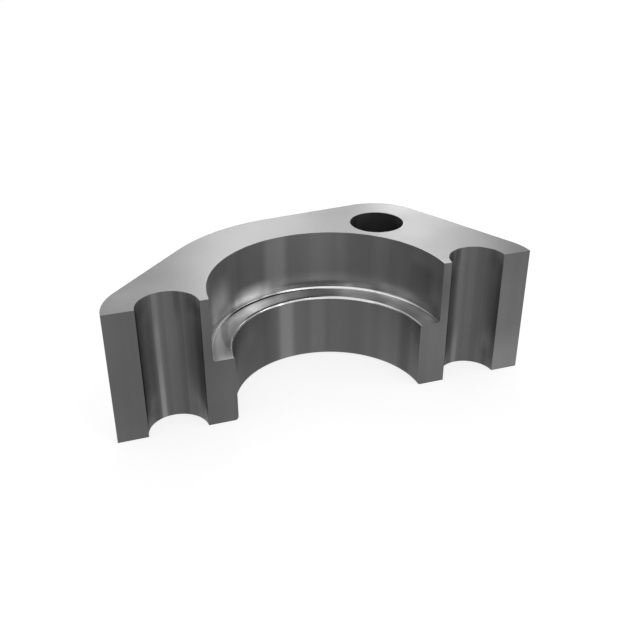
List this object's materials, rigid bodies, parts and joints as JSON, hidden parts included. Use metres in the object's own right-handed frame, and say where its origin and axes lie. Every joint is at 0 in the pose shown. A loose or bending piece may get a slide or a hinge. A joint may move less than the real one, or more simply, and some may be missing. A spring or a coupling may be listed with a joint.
{
  "type": "split flange clamp",
  "caption": "Half of a split flange clamp: a thick lobed steel plate whose stepped bore seats a flanged hydraulic tube end, with plain bolt holes that open onto the split faces.",
  "frame": {"origin": "where the bore axis meets the pad face, in the plane of the split faces", "axes": "+Z out of the pad face, along the bore axis; X along the split faces, from the left half bolt hole to the right one; +Y from the split faces into the metal"},
  "size_m": [0.0876, 0.037, 0.028],
  "materials": {
    "steel": "satin"
  },
  "bodies": {
    "root": {"clamp_half": "steel"}
  },
  "joints": []
}
